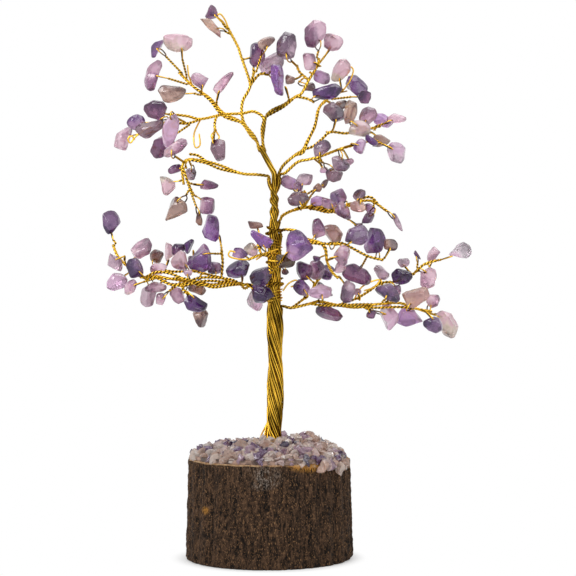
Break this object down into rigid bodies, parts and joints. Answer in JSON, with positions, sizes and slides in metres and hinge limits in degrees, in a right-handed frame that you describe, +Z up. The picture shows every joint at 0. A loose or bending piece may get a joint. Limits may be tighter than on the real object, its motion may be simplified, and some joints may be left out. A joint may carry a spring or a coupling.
{
  "type": "gemstone tree ornament",
  "caption": "Table ornament: a tree of twisted gold wire with drilled amethyst chips on swinging boughs, set in a gravel mound on a log slice.",
  "frame": {"origin": "centre of the log slice's underside, where it rests on a table", "axes": "+Z up along the trunk, -Y towards the viewer, +X to the viewer's right"},
  "size_m": [0.1332, 0.0595, 0.1996],
  "materials": {
    "bark": "rough",
    "wood": "matte",
    "glue": "glossy",
    "gravel_white": "glossy",
    "gravel_beige": "glossy",
    "gravel_violet": "glossy",
    "gold_wire": "bright",
    "amethyst": "polished"
  },
  "bodies": {
    "stand": {"log_bark": "bark", "log_wood": "wood", "glue_bed": "glue", "gravel_white": "gravel_white", "gravel_beige": "gravel_beige", "gravel_violet": "gravel_violet", "trunk_core_strands": "gold_wire", "trunk_outer_strands": "gold_wire", "lower_binding": "gold_wire", "upper_binding": "gold_wire"},
    "crown_left": {"crown_left_bough": "gold_wire", "crown_left_stems": "gold_wire", "crown_left_stones": "amethyst"},
    "left_upper": {"left_upper_bough": "gold_wire", "left_upper_stems": "gold_wire", "left_upper_stones": "amethyst"},
    "leader": {"leader_bough": "gold_wire", "leader_stems": "gold_wire", "leader_stones": "amethyst"},
    "crown_right": {"crown_right_bough": "gold_wire", "crown_right_stems": "gold_wire", "crown_right_stones": "amethyst"},
    "right_upper": {"right_upper_bough": "gold_wire", "right_upper_stems": "gold_wire", "right_upper_stones": "amethyst"},
    "right_middle": {"right_middle_bough": "gold_wire", "right_middle_stems": "gold_wire", "right_middle_stones": "amethyst"},
    "left_mid": {"left_mid_bough": "gold_wire", "left_mid_stems": "gold_wire", "left_mid_stones": "amethyst"},
    "right_arching": {"right_arching_bough": "gold_wire", "right_arching_stems": "gold_wire", "right_arching_stones": "amethyst"},
    "front": {"front_bough": "gold_wire", "front_stems": "gold_wire", "front_stones": "amethyst"},
    "right_lower": {"right_lower_bough": "gold_wire", "right_lower_stems": "gold_wire", "right_lower_stones": "amethyst"},
    "right_low": {"right_low_bough": "gold_wire", "right_low_stems": "gold_wire", "right_low_stones": "amethyst"},
    "left_low": {"left_low_bough": "gold_wire", "left_low_stems": "gold_wire", "left_low_stones": "amethyst"}
  },
  "joints": [
    {"name": "crown_left_swing", "type": "hinge", "parent": "stand", "child": "crown_left", "pos_m": [-0.0041, 0.001, 0.1496], "axis": [0, 0, 1], "range_deg": [0, 8]},
    {"name": "left_upper_swing", "type": "hinge", "parent": "stand", "child": "left_upper", "pos_m": [-0.0021, 0.001, 0.1498], "axis": [0, 0, 1], "range_deg": [-8, 0]},
    {"name": "leader_swing", "type": "hinge", "parent": "stand", "child": "leader", "pos_m": [-0.0041, -0.001, 0.1496], "axis": [0, 0, 1], "range_deg": [-6, 6]},
    {"name": "crown_right_swing", "type": "hinge", "parent": "stand", "child": "crown_right", "pos_m": [-0.0021, -0.001, 0.1498], "axis": [0, 0, 1], "range_deg": [-6, 6]},
    {"name": "right_upper_swing", "type": "hinge", "parent": "stand", "child": "right_upper", "pos_m": [0.00364, 0.00217, 0.13829], "axis": [0, 0, 1], "range_deg": [0, 10]},
    {"name": "right_middle_swing", "type": "hinge", "parent": "stand", "child": "right_middle", "pos_m": [0.00426, -0.0015, 0.1378], "axis": [0, 0, 1], "range_deg": [-10, 0]},
    {"name": "left_mid_swing", "type": "hinge", "parent": "stand", "child": "left_mid", "pos_m": [-0.00015, 0.00164, 0.13739], "axis": [0, 0, 1], "range_deg": [-5, 8]},
    {"name": "right_arching_swing", "type": "hinge", "parent": "stand", "child": "right_arching", "pos_m": [0.00441, 0.00147, 0.12202], "axis": [0, 0, 1], "range_deg": [0, 10]},
    {"name": "front_swing", "type": "hinge", "parent": "stand", "child": "front", "pos_m": [0.00378, -0.00222, 0.10902], "axis": [0, 0, 1], "range_deg": [-6, 6]},
    {"name": "right_lower_swing", "type": "hinge", "parent": "stand", "child": "right_lower", "pos_m": [0.0046, -0.00117, 0.11753], "axis": [0, 0, 1], "range_deg": [-10, 0]},
    {"name": "right_low_swing", "type": "hinge", "parent": "stand", "child": "right_low", "pos_m": [0.00497, -0.00051, 0.09053], "axis": [0, 0, 1], "range_deg": [0, 8]},
    {"name": "left_low_swing", "type": "hinge", "parent": "stand", "child": "left_low", "pos_m": [-0.00028, 0.00109, 0.0985], "axis": [0, 0, 1], "range_deg": [-5, 8]}
  ]
}
